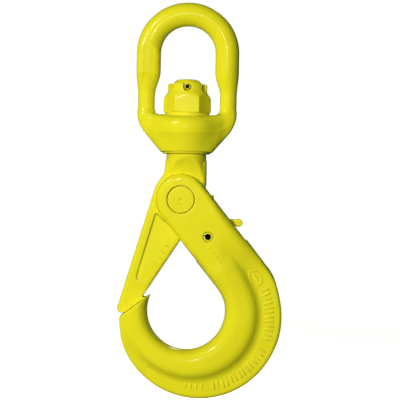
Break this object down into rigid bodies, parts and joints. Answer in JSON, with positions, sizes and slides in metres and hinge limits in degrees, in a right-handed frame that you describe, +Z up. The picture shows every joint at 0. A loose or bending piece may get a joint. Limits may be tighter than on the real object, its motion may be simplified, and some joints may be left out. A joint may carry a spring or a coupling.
{
  "type": "swivel hook",
  "caption": "Self-locking lifting hook with a swivelling bow on a ball thrust bearing, a latch arm on its stem and a sprung trigger in its spine",
  "frame": {"origin": "the saddle inside the bow's crown, on the swivel axis, where a chain or hoist hook bears", "axes": "+Z up along the swivel axis towards the crown; +X across the hook, towards the trigger; -Y the front, +Y through the hook's thickness"},
  "size_m": [0.1106, 0.0456, 0.2663],
  "materials": {
    "paint": "glossy powder paint over forged steel",
    "steel": "ground hardened steel",
    "spring_steel": "oiled spring steel",
    "cage": "turned brass",
    "bush": "turned bronze",
    "seal": "black rubber"
  },
  "bodies": {
    "bow": {"swivel_bow": "paint", "swivel_bush": "bush", "bearing_lower_race": "steel", "seal_ring": "seal"},
    "ball_train": {"bearing_cage": "cage", "bearing_ball_01": "steel", "bearing_ball_02": "steel", "bearing_ball_03": "steel", "bearing_ball_04": "steel", "bearing_ball_05": "steel", "bearing_ball_06": "steel", "bearing_ball_07": "steel", "bearing_ball_08": "steel", "bearing_ball_09": "steel", "bearing_ball_10": "steel", "bearing_ball_11": "steel", "bearing_ball_12": "steel"},
    "shank": {"latch_arm": "paint", "castle_nut": "paint", "nut_spring_pin": "spring_steel", "bearing_upper_race": "paint"},
    "hook": {"hook_body": "paint", "load_pin": "paint", "trigger_pin": "paint", "trigger_spring": "spring_steel"},
    "trigger": {"trigger": "paint"}
  },
  "joints": [
    {"name": "swivel", "type": "hinge", "parent": "bow", "child": "shank", "pos_m": [0, 0, -0.06], "axis": [0, 0, 1], "continuous": true},
    {"name": "ball_roll", "type": "hinge", "parent": "bow", "child": "ball_train", "pos_m": [0, 0, -0.0635], "axis": [0, 0, 1], "continuous": true},
    {"name": "hook_open", "type": "hinge", "parent": "shank", "child": "hook", "pos_m": [-0.003, 0, -0.117], "axis": [0, -1, 0], "range_deg": [0, 38]},
    {"name": "trigger_press", "type": "hinge", "parent": "hook", "child": "trigger", "pos_m": [0.0156, 0, -0.1415], "axis": [0, 1, 0], "range_deg": [0, 19.5], "stiffness_Nm_per_rad": 0.05, "springref_deg": -11.46, "deforming": ["trigger_spring"]}
  ],
  "couplings": [
    {"joint": "ball_roll", "follows": "swivel", "ratio": 0.5},
    {"joint": "trigger_press", "follows": "hook_open", "ratio": 0.5}
  ]
}
